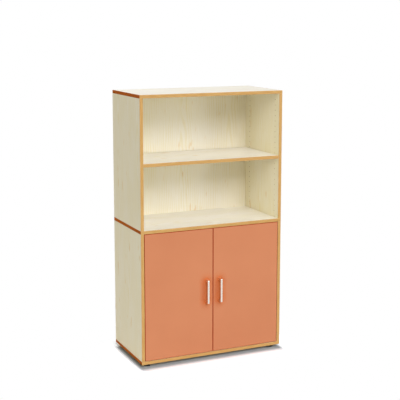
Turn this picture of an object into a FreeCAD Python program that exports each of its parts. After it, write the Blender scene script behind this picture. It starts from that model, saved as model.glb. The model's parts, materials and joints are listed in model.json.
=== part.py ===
import FreeCAD, Part
import math
import os
import re

import Sketcher

# A free-standing bookcase: an open upper half over a cabinet with two inset doors.
# The frame's origin is on the floor, under the middle of the whole piece. +X is to the right as
# seen from the front, -Y points out of the front, and +Z is up. Sizes are in millimetres.

document = FreeCAD.newDocument("Bookcase")
sheet = document.addObject("Spreadsheet::Sheet", "Sizes")

drivingSizes = {
    # carcass
    "carcassWidth": 900,
    "carcassDepth": 450,
    "board": 19,
    "lowerHeight": 750,
    "upperHeight": 750,
    "footHeight": 20,
    # edging strips
    "edging": 2,
    "edgingRound": 1,
    # back panels, held in grooves
    "backThickness": 8,
    "backFace": 432,
    "grooveWidth": 8.2,
    "grooveDepth": 6,
    "grooveSlack": 0.5,
    # shelf holes, at the pitch that cabinet makers use
    "holePitch": 32,
    "holeRadius": 2.5,
    "holeDepth": 12,
    "firstHole": 39,
    "frontRow": 50,
    "backRow": 377,
    "cabinetRow": 82,
    "cabinetFirstHole": 263,
    # shelves and their pins
    "shelfSlack": 1,
    "shelfSetback": 3,
    "shelfBack": 428,
    "cabinetShelfSetback": 60,
    "pinRadius": 2.3,
    "pinSeat": 4,
    "pinLength": 10,
    # dowels
    "dowelRadius": 4,
    "dowelInSide": 20,
    "dowelInPanel": 12,
    "upperDowelFront": 40,
    "upperDowelMiddle": 220,
    "upperDowelBack": 400,
    "lowerDowelFront": 60,
    "lowerDowelMiddle": 240,
    "lowerDowelBack": 380,
    # doors
    "door": 19,
    "hingeGap": 2.5,
    "middleGap": 3,
    "doorGap": 2,
    "doorRound": 1,
    # handles
    "handleProjection": 32,
    "handleCentres": 128,
    "handleWidth": 11,
    "handleThickness": 7,
    "handleLeg": 12,
    "handleBend": 3,
    "handleInnerBend": 2,
    "handleChamfer": 1,
    "handleFromEdge": 40.5,
    "handleScrew": 2,
    "handleThread": 12,
    "handleThreadSpare": 2,
    "handleHead": 4.5,
    "handleHeadHeight": 2.4,
    # hinges
    "hingeFromEnd": 100,
    "cupRadius": 17.5,
    "cupWall": 0.9,
    "cupDepth": 13.5,
    "cupFromEdge": 22,
    "flange": 1.5,
    "flangeRim": 1,
    "flangeWing": 27,
    "flangeWingWidth": 14,
    "hingePin": 1.5,
    "pinDepth": 9.5,
    "pinSlack": 0.05,
    "eyeRadius": 2.5,
    "armWidth": 12,
    "armThickness": 2.4,
    "armLean": 42.5,
    "hookTop": 41,
    "hookBend": 12,
    "neckBend": 6,
    "armFromSide": 6.5,
    "armBack": 88,
    "plateBase": 3,
    "plateFront": 50,
    "plateBack": 86,
    "plateBlock": 9.4,
    "wingFront": 58,
    "wingBack": 76,
    "wingHeight": 46,
    "plateScrewCentres": 32,
    "plateScrew": 3,
    "plateScrewLength": 14,
    "screwHead": 4.5,
    "screwHeadHeight": 2,
    "armScrew": 2.5,
    "armScrewLength": 7.2,
    "channelWall": 1,
    "channelGap": 0.3,
    "shankSlack": 0.02,
    # door stop and pads
    "stopWidth": 60,
    "stopDepth": 20,
    "stopHeight": 16,
    "stopScrew": 2,
    "stopScrewLength": 28,
    "padRadius": 5,
    "padThickness": 2,
    "padGap": 0.3,
    "padFromTop": 8,
    "padFromEdge": 14,
    # feet
    "footRadius": 20,
    "footNeck": 9,
    "footBase": 9,
    "footStud": 5,
    "footStudLength": 11,
    "socketRadius": 8,
    "socketDepth": 13,
    "footFromSide": 46,
    "footFromFront": 46,
    "footFromBack": 46,
}

# Distances that follow from the driving sizes. A name here may use the names above it.
derivedSizes = {
    "frontY": "(handleProjection - carcassDepth) / 2",
    "bottomZ": "footHeight",
    "lowerZ": "bottomZ + board",
    "middleZ": "lowerZ + lowerHeight",
    "upperZ": "middleZ + board",
    "topZ": "upperZ + upperHeight",
    "leftX": "-carcassWidth / 2",
    "innerX": "leftX + board",
    "openingWidth": "carcassWidth - 2 * board",
    "doorWidth": "(openingWidth - 2 * hingeGap - middleGap) / 2",
    "doorHeight": "lowerHeight - 2 * doorGap",
    "doorX": "innerX + hingeGap",
    "doorZ": "lowerZ + doorGap",
    "lowHingeZ": "doorZ + hingeFromEnd",
    "hingeSpan": "doorHeight - 2 * hingeFromEnd",
    "cupX": "doorX + cupFromEdge",
    "pinY": "frontY + pinDepth",
    "shelfLength": "openingWidth - 2 * shelfSlack",
    "handleX": "doorX + doorWidth - handleFromEdge",
    "handleZ": "doorZ + (doorHeight - handleCentres) / 2",
}

openShelfHole = 10
openRowHoles = 22
cabinetRowHoles = 5
smallHoleSides = 6
holeSides = 8
boreSides = 12
footSides = 20
roundedTo = 0.01

for row, (alias, size) in enumerate(drivingSizes.items(), start=1):
    sheet.set("A%d" % row, alias)
    sheet.set("B%d" % row, str(size))
    sheet.setAlias("B%d" % row, alias)
document.recompute()


def expression(text):
    # Writes names of sizes out as cells of the sheet, and derived ones as what they stand for.
    def cell(match):
        word = match.group(0)
        if word in derivedSizes:
            return "(" + expression(derivedSizes[word]) + ")"
        return "Sizes." + word
    return re.sub(r"[A-Za-z]+", cell, str(text))


def value(text):
    return float(sheet.evalExpression(expression(text)))


def bind(item, path, text):
    item.setExpression(path, expression(text))


def place(item, x, y, z):
    for axis, text in (("x", x), ("y", y), ("z", z)):
        bind(item, "Placement.Base." + axis, text)


def addBody(label, x, y, z):
    body = document.addObject("PartDesign::Body", label)
    body.Label = label
    body.AllowCompound = True
    place(body, x, y, z)
    return body


def originFeature(body, role):
    return [item for item in body.Origin.OriginFeatures if item.Role == role][0]


def addSketch(body, plane, offset="0"):
    sketch = body.newObject("Sketcher::SketchObject", body.Name + "Sketch")
    sketch.AttachmentSupport = [(originFeature(body, plane), "")]
    sketch.MapMode = "FlatFace"
    bind(sketch, "AttachmentOffset.Base.z", offset)
    return sketch


def constrain(sketch, kind, points, text):
    index = sketch.addConstraint(Sketcher.Constraint(kind, *points, value(text)))
    sketch.setExpression("Constraints[%d]" % index, expression(text))


def joinLines(sketch, first, count):
    for step in range(count):
        following = first + (step + 1) % count
        sketch.addConstraint(Sketcher.Constraint("Coincident", first + step, 2, following, 1))


def addPolygon(sketch, points):
    # A closed outline of straight edges through points given as pairs of expressions.
    corners = [FreeCAD.Vector(value(x), value(y), 0) for x, y in points]
    first = sketch.GeometryCount
    for step, corner in enumerate(corners):
        sketch.addGeometry(Part.LineSegment(corner, corners[(step + 1) % len(corners)]), False)
    joinLines(sketch, first, len(points))
    for step, (x, y) in enumerate(points):
        constrain(sketch, "DistanceX", (-1, 1, first + step, 1), x)
        constrain(sketch, "DistanceY", (-1, 1, first + step, 1), y)


def addRectangle(sketch, x, y, width, height):
    right = "%s + %s" % (x, width)
    top = "%s + %s" % (y, height)
    addPolygon(sketch, [(x, y), (right, y), (right, top), (x, top)])


def addCircle(sketch, x, y, radius):
    centre = FreeCAD.Vector(value(x), value(y), 0)
    index = sketch.addGeometry(Part.Circle(centre, FreeCAD.Vector(0, 0, 1), value(radius)), False)
    constrain(sketch, "DistanceX", (-1, 1, index, 3), x)
    constrain(sketch, "DistanceY", (-1, 1, index, 3), y)
    constrain(sketch, "Radius", (index,), radius)


def addFlats(sketch, x, y, radius, sides=holeSides):
    # A small round outline, drawn with flats that touch its circle from outside.
    reach = "(%s) / %.8f" % (radius, math.cos(math.pi / sides))
    points = []
    for step in range(sides):
        angle = 2 * math.pi * (step + 0.5) / sides
        cornerX = "%s + %s * (%.8f)" % (x, reach, math.cos(angle))
        cornerY = "%s + %s * (%.8f)" % (y, reach, math.sin(angle))
        points.append((cornerX, cornerY))
    addPolygon(sketch, points)


def addRoundedOutline(sketch, corners, radii):
    # A closed outline with sharp corners at the points given, each rounded to its own radius.
    ends = []
    for step, (corner, radius) in enumerate(zip(corners, radii)):
        back = (corners[step - 1] - corner).normalize()
        ahead = (corners[(step + 1) % len(corners)] - corner).normalize()
        half = math.acos(back.dot(ahead)) / 2
        start = corner + back * (radius / math.tan(half))
        end = corner + ahead * (radius / math.tan(half))
        if radius:
            middle = corner + (back + ahead).normalize() * (radius / math.sin(half) - radius)
            sketch.addGeometry(Part.Arc(start, middle, end), False)
        ends.append((start, end))
    for step, (start, end) in enumerate(ends):
        sketch.addGeometry(Part.LineSegment(ends[step - 1][1], start), False)


def addRibbon(sketch, path, bends, thickness):
    # The outline of a bent strip, whose middle runs through the path's points.
    ways = [(after - before).normalize() for before, after in zip(path, path[1:])]
    normals = [FreeCAD.Vector(-way.y, way.x, 0) for way in ways]
    sides = []
    for shift in (thickness / 2, -thickness / 2):
        corners = [path[0] + normals[0] * shift]
        radii = [0]
        for step, bend in enumerate(bends):
            before, after = normals[step], normals[step + 1]
            corners.append(path[step + 1] + (before + after) * (shift / (1 + before.dot(after))))
            leftTurn = ways[step].cross(ways[step + 1]).z > 0
            radii.append(bend - shift if leftTurn else bend + shift)
        corners.append(path[-1] + normals[-1] * shift)
        radii.append(0)
        sides.append((corners, radii))
    (leftCorners, leftRadii), (rightCorners, rightRadii) = sides
    addRoundedOutline(sketch, leftCorners + rightCorners[::-1], leftRadii + rightRadii[::-1])


def pad(body, sketch, length, reverse=False, midplane=False):
    feature = body.newObject("PartDesign::Pad", body.Name + "Pad")
    feature.Profile = sketch
    bind(feature, "Length", length)
    feature.Reversed = reverse
    feature.Midplane = midplane
    body.Tip = feature
    document.recompute()
    return feature


def pocket(body, sketch, length, reverse=False, midplane=False):
    before = body.Shape.Volume
    feature = body.newObject("PartDesign::Pocket", body.Name + "Pocket")
    feature.Profile = sketch
    bind(feature, "Length", length)
    feature.Reversed = reverse
    feature.Midplane = midplane
    body.Tip = feature
    document.recompute()
    if body.Shape.Volume > before - roundedTo:
        raise RuntimeError("a pocket cuts nothing in " + body.Label)
    return feature


def pattern(body, feature, axis, spacing, count):
    repeated = body.newObject("PartDesign::LinearPattern", body.Name + "Pattern")
    repeated.Originals = [feature]
    repeated.Direction = (originFeature(body, axis), [""])
    repeated.Mode = "Spacing"
    bind(repeated, "Offset", spacing)
    repeated.Occurrences = count
    body.Tip = repeated
    document.recompute()
    return repeated


def fillet(body, radius, wanted):
    # Rounds the edges of the body's present shape for which wanted(edge) holds.
    base = body.Tip
    names = ["Edge%d" % (number + 1) for number, edge in enumerate(base.Shape.Edges) if wanted(edge)]
    feature = body.newObject("PartDesign::Fillet", body.Name + "Fillet")
    feature.Base = (base, names)
    bind(feature, "Radius", radius)
    body.Tip = feature
    document.recompute()
    return feature


def chamfer(body, size, wanted):
    base = body.Tip
    names = ["Edge%d" % (number + 1) for number, edge in enumerate(base.Shape.Edges) if wanted(edge)]
    feature = body.newObject("PartDesign::Chamfer", body.Name + "Chamfer")
    feature.Base = (base, names)
    bind(feature, "Size", size)
    body.Tip = feature
    document.recompute()
    return feature


def liesOnPlane(edge, axis, level):
    box = edge.BoundBox
    low = getattr(box, axis + "Min")
    high = getattr(box, axis + "Max")
    return abs(low - level) < roundedTo and abs(high - level) < roundedTo


def mirror(source, label):
    # The same piece on the other side of the bookcase's middle plane.
    copy = document.addObject("Part::Mirroring", label)
    copy.Label = label
    copy.Source = source
    copy.Normal = FreeCAD.Vector(1, 0, 0)
    return copy


def group(label, items):
    together = document.addObject("Part::Compound", label)
    together.Label = label
    together.Links = items
    return together


def pairAcross(label, piece):
    return group(label, [piece, mirror(piece, label + "Mirrored")])


# Boards

upperDowelRows = ["upperDowelFront", "upperDowelMiddle", "upperDowelBack"]
lowerDowelRows = ["lowerDowelFront", "lowerDowelMiddle", "lowerDowelBack"]
panelLength = "carcassWidth - 2 * edging"
panelDepth = "carcassDepth - edging"
coreShift = " - edging"
sideMiddle = "board / 2"


def drillForDowels(body, rows, centres, level, depth, reverse):
    sketch = addSketch(body, "XY_Plane", level)
    for rowY in rows:
        for centre in centres:
            addFlats(sketch, centre, rowY + coreShift, "dowelRadius", smallHoleSides)
    pocket(body, sketch, depth, reverse)


def cutPanelGroove(body, level, reverse):
    sketch = addSketch(body, "XY_Plane", level)
    start = "board - edging - grooveDepth"
    length = "openingWidth + 2 * grooveDepth"
    addRectangle(sketch, start, "backFace" + coreShift, length, "grooveWidth")
    pocket(body, sketch, "grooveDepth", reverse)


def makePanel(label, level, drilledBelow, drilledAbove):
    body = addBody(label, "leftX + edging", "frontY + edging", level)
    outline = addSketch(body, "XY_Plane")
    addRectangle(outline, "0", "0", panelLength, panelDepth)
    pad(body, outline, "board")
    centres = [sideMiddle + coreShift, "carcassWidth - board / 2 - edging"]
    if drilledBelow:
        drillForDowels(body, drilledBelow, centres, "0", "dowelInPanel", True)
        cutPanelGroove(body, "0", True)
    if drilledAbove:
        drillForDowels(body, drilledAbove, centres, "board", "dowelInPanel", False)
        cutPanelGroove(body, "board", False)
    return body


def drillShelfRow(body, rowY, firstZ, count):
    sketch = addSketch(body, "YZ_Plane", "board")
    addFlats(sketch, rowY + coreShift, firstZ, "holeRadius", smallHoleSides)
    hole = pocket(body, sketch, "holeDepth")
    pattern(body, hole, "Z_Axis", "holePitch", count)


def makeSide(label, level, height, dowelRows):
    body = addBody(label, "leftX", "frontY + edging", level)
    outline = addSketch(body, "XY_Plane")
    addRectangle(outline, "0", "0", "board", panelDepth)
    pad(body, outline, height)
    drillForDowels(body, dowelRows, [sideMiddle], "0", "dowelInSide", True)
    drillForDowels(body, dowelRows, [sideMiddle], height, "dowelInSide", False)
    groove = addSketch(body, "YZ_Plane", "board")
    addRectangle(groove, "backFace" + coreShift, "0", "grooveWidth", height)
    pocket(body, groove, "grooveDepth")
    return body


topPanel = makePanel("top_panel", "topZ", upperDowelRows, None)
middlePanel = makePanel("middle_panel", "middleZ", lowerDowelRows, upperDowelRows)
bottomPanel = makePanel("bottom_panel", "bottomZ", None, lowerDowelRows)

upperSide = makeSide("upper_left_side", "upperZ", "upperHeight", upperDowelRows)
for shelfRow in ("frontRow", "backRow"):
    drillShelfRow(upperSide, shelfRow, "firstHole", openRowHoles)

lowerSide = makeSide("lower_left_side", "lowerZ", "lowerHeight", lowerDowelRows)
for shelfRow in ("cabinetRow", "backRow"):
    drillShelfRow(lowerSide, shelfRow, "cabinetFirstHole", cabinetRowHoles)

plateScrewHoles = addSketch(lowerSide, "YZ_Plane", "board")
for hingeHeight in ("doorGap + hingeFromEnd", "doorGap + hingeFromEnd + hingeSpan"):
    for turn in ("-", "+"):
        screwZ = "%s %s plateScrewCentres / 2" % (hingeHeight, turn)
        screwY = "(wingFront + wingBack) / 2" + coreShift
        addFlats(plateScrewHoles, screwY, screwZ, "plateScrew")
pocket(lowerSide, plateScrewHoles, "plateScrewLength - plateBase")

footCentresX = ("footFromSide - edging", "carcassWidth - footFromSide - edging")
footCentresY = ("footFromFront - edging", "carcassDepth - footFromBack - edging")
socketHoles = addSketch(bottomPanel, "XY_Plane", "0")
for centreX in footCentresX:
    for centreY in footCentresY:
        addFlats(socketHoles, centreX, centreY, "socketRadius")
pocket(bottomPanel, socketHoles, "socketDepth", True)


def makeBack(label, level, height):
    # The panel stands on the floor of the lower groove and against the front wall of its grooves.
    x = "innerX - grooveDepth + grooveSlack"
    body = addBody(label, x, "frontY + backFace", level + " - grooveDepth")
    outline = addSketch(body, "XY_Plane")
    width = "openingWidth + 2 * (grooveDepth - grooveSlack)"
    addRectangle(outline, "0", "0", width, "backThickness")
    pad(body, outline, height + " + 2 * grooveDepth - grooveSlack")
    return body


makeBack("upper_back", "upperZ", "upperHeight")
makeBack("lower_back", "lowerZ", "lowerHeight")


def makeShelf(label, setback, level):
    y = "frontY + %s + edging" % setback
    body = addBody(label, "innerX + shelfSlack", y, level)
    outline = addSketch(body, "XY_Plane")
    depth = "shelfBack - %s - edging" % setback
    addRectangle(outline, "0", "0", "shelfLength", depth)
    pad(body, outline, "board")
    return body


openHoleZ = "upperZ + firstHole + %d * holePitch" % openShelfHole
cabinetHoleZ = "lowerZ + cabinetFirstHole + %d * holePitch" % (cabinetRowHoles // 2)
makeShelf("adjustable_shelf", "shelfSetback", openHoleZ + " + pinSeat")
makeShelf("cabinet_shelf", "cabinetShelfSetback", cabinetHoleZ + " + pinSeat")


# Edging strips: glued on, flush with the board's faces, with their outer edges taken off

def isLong(edge):
    return edge.Length > value("board") + roundedTo


def makeFrontStrip(label, x, y, z, width, height):
    body = addBody(label, x, y, z)
    outline = addSketch(body, "XY_Plane")
    addRectangle(outline, "0", "0", width, "edging")
    pad(body, outline, height)
    fillet(body, "edgingRound", lambda edge: liesOnPlane(edge, "Y", 0) and isLong(edge))
    return body


def makeEndStrips(label, level):
    strip = addBody(label + "Left", "leftX", "frontY + edging", level)
    outline = addSketch(strip, "XY_Plane")
    addRectangle(outline, "0", "0", "edging", panelDepth)
    pad(strip, outline, "board")
    chamfer(strip, "edgingRound", lambda edge: liesOnPlane(edge, "X", 0) and isLong(edge))
    return pairAcross(label, strip)


for name, panelZ in (("top", "topZ"), ("middle", "middleZ"), ("bottom", "bottomZ")):
    makeFrontStrip(name + "_panel_front_edging", "leftX", "frontY", panelZ, "carcassWidth", "board")
    makeEndStrips(name + "_panel_end_edgings", panelZ)

upperEdging = makeFrontStrip("upper_left_side_edging", "leftX", "frontY", "upperZ", "board", "upperHeight")
lowerEdging = makeFrontStrip("lower_left_side_edging", "leftX", "frontY", "lowerZ", "board", "lowerHeight")

for name, setback, shelfZ in (
    ("adjustable_shelf", "shelfSetback", openHoleZ),
    ("cabinet_shelf", "cabinetShelfSetback", cabinetHoleZ),
):
    stripX = "innerX + shelfSlack"
    stripY = "frontY + " + setback
    makeFrontStrip(name + "_edging", stripX, stripY, shelfZ + " + pinSeat", "shelfLength", "board")


# Dowels, one row of three in each joint between a side and a panel

def makeDowel(label, y, z):
    body = addBody(label, "leftX + board / 2", "frontY + " + y, z)
    outline = addSketch(body, "XY_Plane")
    addFlats(outline, "0", "0", "dowelRadius", smallHoleSides)
    pad(body, outline, "dowelInSide + dowelInPanel")
    return body


leftDowels = []
for jointNumber, (rows, start) in enumerate((
    (upperDowelRows, "topZ - dowelInSide"),
    (upperDowelRows, "upperZ - dowelInPanel"),
    (lowerDowelRows, "middleZ - dowelInSide"),
    (lowerDowelRows, "lowerZ - dowelInPanel"),
)):
    for rowNumber, rowY in enumerate(rows):
        leftDowels.append(makeDowel("dowel%d%d" % (jointNumber, rowNumber), rowY, start))
dowelsLeft = group("dowelsLeft", leftDowels)
pairAcross("carcass_dowels", dowelsLeft)


# Shelf pins: a shank in the side's hole and a thicker seat under the shelf

def makeShelfPins(label, rows, level):
    pins = []
    for row in rows:
        pin = addBody("%sPin%d" % (label, len(pins)), "innerX", "frontY + " + row, level)
        shank = addSketch(pin, "YZ_Plane", "-holeDepth")
        addFlats(shank, "0", "0", "pinRadius")
        pad(pin, shank, "holeDepth + pinLength")
        seat = addSketch(pin, "YZ_Plane")
        addFlats(seat, "0", "0", "pinSeat")
        pad(pin, seat, "pinLength")
        pins.append(pin)
    return pairAcross(label, group(label + "Left", pins))


makeShelfPins("adjustable_shelf_pins", ("frontRow", "backRow"), openHoleZ)
makeShelfPins("cabinet_shelf_pins", ("cabinetRow", "backRow"), cabinetHoleZ)


# Doors, with blind bores for the hinge cups and holes for the handle screws

door = addBody("left_door", "doorX", "frontY", "doorZ")
doorOutline = addSketch(door, "XY_Plane")
addRectangle(doorOutline, "0", "0", "doorWidth", "door")
pad(door, doorOutline, "doorHeight")
fillet(door, "doorRound", lambda edge: liesOnPlane(edge, "Y", 0))

# A sketch on the XZ plane has its normal along -Y, so an offset of -door puts it on the back face.
cupBores = addSketch(door, "XZ_Plane", "-door")
for boreZ in ("hingeFromEnd", "hingeFromEnd + hingeSpan"):
    addCircle(cupBores, "cupFromEdge", boreZ, "cupRadius")
pocket(door, cupBores, "cupDepth", True)

screwHoles = addSketch(door, "XZ_Plane", "-door")
for holeZ in ("(doorHeight - handleCentres) / 2", "(doorHeight + handleCentres) / 2"):
    addFlats(screwHoles, "doorWidth - handleFromEdge", holeZ, "handleScrew")
pocket(door, screwHoles, "door", True)


# Handles: a flat bar bent into a D, tapped in both ends, with a screw through the door in each

handle = addBody("left_handle", "handleX", "frontY - handleProjection", "handleZ")
handleOutline = addSketch(handle, "YZ_Plane")
legHalf = value("handleLeg / 2")
reach = value("handleProjection")
barBack = value("handleThickness")
span = value("handleCentres")
outerBend = value("handleBend")
innerBend = value("handleInnerBend")
handleCorners = [
    (reach, -legHalf, 0),
    (0, -legHalf, outerBend),
    (0, span + legHalf, outerBend),
    (reach, span + legHalf, 0),
    (reach, span - legHalf, 0),
    (barBack, span - legHalf, innerBend),
    (barBack, legHalf, innerBend),
    (reach, legHalf, 0),
]
addRoundedOutline(
    handleOutline,
    [FreeCAD.Vector(y, z, 0) for y, z, bend in handleCorners],
    [bend for y, z, bend in handleCorners],
)
pad(handle, handleOutline, "handleWidth", midplane=True)
halfWidth = value("handleWidth / 2")
for handleSide in (halfWidth, -halfWidth):
    chamfer(handle, "handleChamfer", lambda edge: liesOnPlane(edge, "X", handleSide))
threads = addSketch(handle, "XZ_Plane", "-handleProjection")
for threadZ in ("0", "handleCentres"):
    addFlats(threads, "0", threadZ, "handleScrew")
pocket(handle, threads, "handleThread", reverse=True)


def makeScrew(label, shank, length, head, headHeight):
    # Along the local Z axis: the head's underside is at 0 and the shank runs down from it.
    body = addBody(label, "0", "0", "0")
    shankOutline = addSketch(body, "XY_Plane")
    addFlats(shankOutline, "0", "0", shank)
    pad(body, shankOutline, length, reverse=True)
    headOutline = addSketch(body, "XY_Plane")
    addFlats(headOutline, "0", "0", head)
    pad(body, headOutline, headHeight)
    return body


def aim(body, x, y, z, axis, angle):
    body.Placement.Rotation = FreeCAD.Rotation(axis, angle)
    place(body, x, y, z)


alongX = (FreeCAD.Vector(0, 1, 0), 90)
alongY = (FreeCAD.Vector(1, 0, 0), -90)
downwards = (FreeCAD.Vector(1, 0, 0), 180)

leftHandleScrews = []
for number, screwZ in enumerate(("handleZ", "handleZ + handleCentres")):
    length = "door + handleThread - handleThreadSpare"
    screw = makeScrew(
        "handleScrew%d" % number, "handleScrew - shankSlack", length, "handleHead", "handleHeadHeight",
    )
    aim(screw, "handleX", "frontY + door", screwZ, *alongY)
    leftHandleScrews.append(screw)
handleScrews = group("left_handle_screws", leftHandleScrews)


# Hinges: a cup pressed into the door turns on a pin in the eye of a goose-necked arm. The neck
# hooks round the door's edge, so that the edge can swing past it into the bookcase.

pinX = "hingeGap + cupFromEdge"
armFace = "armFromSide + armThickness / 2"
blockFace = "armFromSide - armThickness / 2"
plateMiddle = "(plateFront + plateBack) / 2"
wingMiddle = "(wingFront + wingBack) / 2"


def makeForBothHinges(label, make):
    # The door's second hinge is the same as its first, higher up.
    lower = make(label + "Lower", "lowHingeZ")
    upper = make(label + "Upper", "lowHingeZ + hingeSpan")
    return group(label, [lower, upper])


def makeCup(label, z):
    # Local origin: on the cup's axis, on the door's back face.
    body = addBody(label, "cupX", "frontY + door", z)
    shell = addSketch(body, "XZ_Plane")
    addCircle(shell, "0", "0", "cupRadius")
    pad(body, shell, "cupDepth")
    wings = addSketch(body, "XZ_Plane")
    halfWing = "flangeWingWidth / 2"
    rim = "cupRadius + flangeRim"
    addPolygon(wings, [
        ("-(%s)" % halfWing, "-flangeWing"),
        (halfWing, "-flangeWing"),
        (rim, "-(%s)" % halfWing),
        (rim, halfWing),
        (halfWing, "flangeWing"),
        ("-(%s)" % halfWing, "flangeWing"),
        ("-(%s)" % rim, halfWing),
        ("-(%s)" % rim, "-(%s)" % halfWing),
    ])
    pad(body, wings, "flange", reverse=True)
    hollow = addSketch(body, "XZ_Plane", "-flange")
    addCircle(hollow, "0", "0", "cupRadius - cupWall")
    pocket(body, hollow, "cupDepth + flange - cupWall", reverse=True)
    return body


def makePin(label, z):
    body = addBody(label, "cupX", "pinY", z)
    outline = addSketch(body, "XY_Plane")
    addCircle(outline, "0", "0", "hingePin")
    pad(body, outline, "2 * cupRadius - cupWall", midplane=True)
    return body


def makeArm(label, z):
    # Local origin: at the front of the side's inner face, level with the hinge's middle. The
    # strip leaves the eye at a lean, hooks back over the door's edge, and turns along the side.
    body = addBody(label, "innerX", "frontY", z)
    lean = math.radians(value("armLean"))
    eye = FreeCAD.Vector(value(pinX), value("pinDepth"), 0)
    leaning = FreeCAD.Vector(math.cos(lean), math.sin(lean), 0)
    hookTop = value("hookTop")
    hookCorner = eye + leaning * ((hookTop - eye.y) / leaning.y)
    side = value("armFromSide")
    path = [
        eye + leaning * value("(hingePin + eyeRadius) / 2"),
        hookCorner,
        FreeCAD.Vector(side, hookTop, 0),
        FreeCAD.Vector(side, value("armBack"), 0),
    ]
    strip = addSketch(body, "XY_Plane")
    addRibbon(strip, path, [value("hookBend"), value("neckBend")], value("armThickness"))
    pad(body, strip, "armWidth", midplane=True)
    ring = addSketch(body, "XY_Plane")
    addFlats(ring, pinX, "pinDepth", "eyeRadius")
    pad(body, ring, "armWidth", midplane=True)
    bore = addSketch(body, "XY_Plane")
    addFlats(bore, pinX, "pinDepth", "hingePin + pinSlack", boreSides)
    pocket(body, bore, "armWidth", midplane=True)
    for wallZ in ("-armWidth / 2", "armWidth / 2 - channelWall"):
        wall = addSketch(body, "XY_Plane", wallZ)
        start = "plateBase + channelGap"
        addRectangle(wall, start, "plateFront", "armFromSide - (%s)" % start, "armBack - plateFront")
        pad(body, wall, "channelWall")
    screwHole = addSketch(body, "YZ_Plane", armFace)
    addFlats(screwHole, plateMiddle, "0", "armScrew + channelGap")
    pocket(body, screwHole, "armThickness")
    return body


def makePlate(label, z):
    body = addBody(label, "innerX", "frontY", z)
    wings = addSketch(body, "YZ_Plane")
    addRectangle(wings, "wingFront", "-wingHeight / 2", "wingBack - wingFront", "wingHeight")
    pad(body, wings, "plateBase")
    block = addSketch(body, "YZ_Plane")
    addRectangle(block, "plateFront", "-plateBlock / 2", "plateBack - plateFront", "plateBlock")
    pad(body, block, blockFace)
    armScrewHole = addSketch(body, "YZ_Plane", blockFace)
    addFlats(armScrewHole, plateMiddle, "0", "armScrew")
    pocket(body, armScrewHole, blockFace)
    boardScrewHoles = addSketch(body, "YZ_Plane", "plateBase")
    for screwZ in ("-plateScrewCentres / 2", "plateScrewCentres / 2"):
        addFlats(boardScrewHoles, wingMiddle, screwZ, "plateScrew")
    pocket(body, boardScrewHoles, "plateBase")
    return body


def makeHingeScrews(label, shank, length, face, y, offsets):
    screws = []
    for hingeZ in ("lowHingeZ", "lowHingeZ + hingeSpan"):
        for offset in offsets:
            name = "%s%d" % (label, len(screws))
            screw = makeScrew(name, shank, length, "screwHead", "screwHeadHeight")
            aim(screw, "innerX + " + face, "frontY + " + y, hingeZ + offset, *alongX)
            screws.append(screw)
    return group(label, screws)


hingeParts = [
    makeForBothHinges("left_hinge_cups", makeCup),
    makeForBothHinges("left_hinge_pins", makePin),
    makeForBothHinges("left_hinge_arms", makeArm),
    makeForBothHinges("left_hinge_plates", makePlate),
    makeHingeScrews(
        "left_hinge_plate_screws", "plateScrew - shankSlack", "plateScrewLength", "plateBase", wingMiddle,
        (" - plateScrewCentres / 2", " + plateScrewCentres / 2"),
    ),
    makeHingeScrews(
        "left_hinge_arm_screws", "armScrew - shankSlack", "armScrewLength", armFace, plateMiddle, ("",),
    ),
]


# A stop under the middle panel, and a soft pad on each door that comes to rest before it

stopY = "frontY + door + padThickness + padGap"
stop = addBody("door_stop", "-stopWidth / 2", stopY, "middleZ - stopHeight")
stopOutline = addSketch(stop, "XY_Plane")
addRectangle(stopOutline, "0", "0", "stopWidth", "stopDepth")
pad(stop, stopOutline, "stopHeight")
fillet(stop, "edgingRound", lambda edge: liesOnPlane(edge, "Z", 0))
stopHoles = addSketch(stop, "XY_Plane", "stopHeight")
for holeX in ("stopWidth / 4", "stopWidth * 3 / 4"):
    addFlats(stopHoles, holeX, "stopDepth / 2", "stopScrew")
pocket(stop, stopHoles, "stopHeight")

stopScrewHoles = addSketch(middlePanel, "XY_Plane", "0")
for turn in ("-", "+"):
    holeX = "carcassWidth / 2 - edging %s stopWidth / 4" % turn
    holeY = "door + padThickness + padGap + stopDepth / 2 - edging"
    addFlats(stopScrewHoles, holeX, holeY, "stopScrew")
pocket(middlePanel, stopScrewHoles, "stopScrewLength - stopHeight", reverse=True)

stopScrews = []
for turn in ("-", "+"):
    stopScrew = makeScrew(
        "stopScrew%d" % len(stopScrews), "stopScrew - shankSlack", "stopScrewLength", "screwHead",
        "screwHeadHeight",
    )
    aim(stopScrew, turn + "stopWidth / 4", stopY + " + stopDepth / 2", "middleZ - stopHeight", *downwards)
    stopScrews.append(stopScrew)
group("door_stop_screws", stopScrews)

padX = "doorX + doorWidth - padFromEdge"
doorPad = addBody("left_door_pad", padX, "frontY + door", "doorZ + doorHeight - padFromTop")
padOutline = addSketch(doorPad, "XZ_Plane")
addFlats(padOutline, "0", "0", "padRadius", footSides)
pad(doorPad, padOutline, "padThickness", reverse=True)


# Feet, screwed into sockets that are let into the bottom panel

def makeFoot(label, x, y):
    body = addBody(label, x, y, "0")
    base = addSketch(body, "XY_Plane")
    addFlats(base, "0", "0", "footRadius", footSides)
    pad(body, base, "footBase")
    neck = addSketch(body, "XY_Plane")
    addFlats(neck, "0", "0", "footNeck", footSides // 2)
    pad(body, neck, "footHeight")
    stud = addSketch(body, "XY_Plane")
    addFlats(stud, "0", "0", "footStud")
    pad(body, stud, "footHeight + footStudLength")
    return body


def makeSocket(label, x, y):
    body = addBody(label, x, y, "footHeight")
    outline = addSketch(body, "XY_Plane")
    addFlats(outline, "0", "0", "socketRadius")
    pad(body, outline, "socketDepth")
    bore = addSketch(body, "XY_Plane")
    addFlats(bore, "0", "0", "footStud + pinSlack")
    pocket(body, bore, "footStudLength", reverse=True)
    return body


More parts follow.
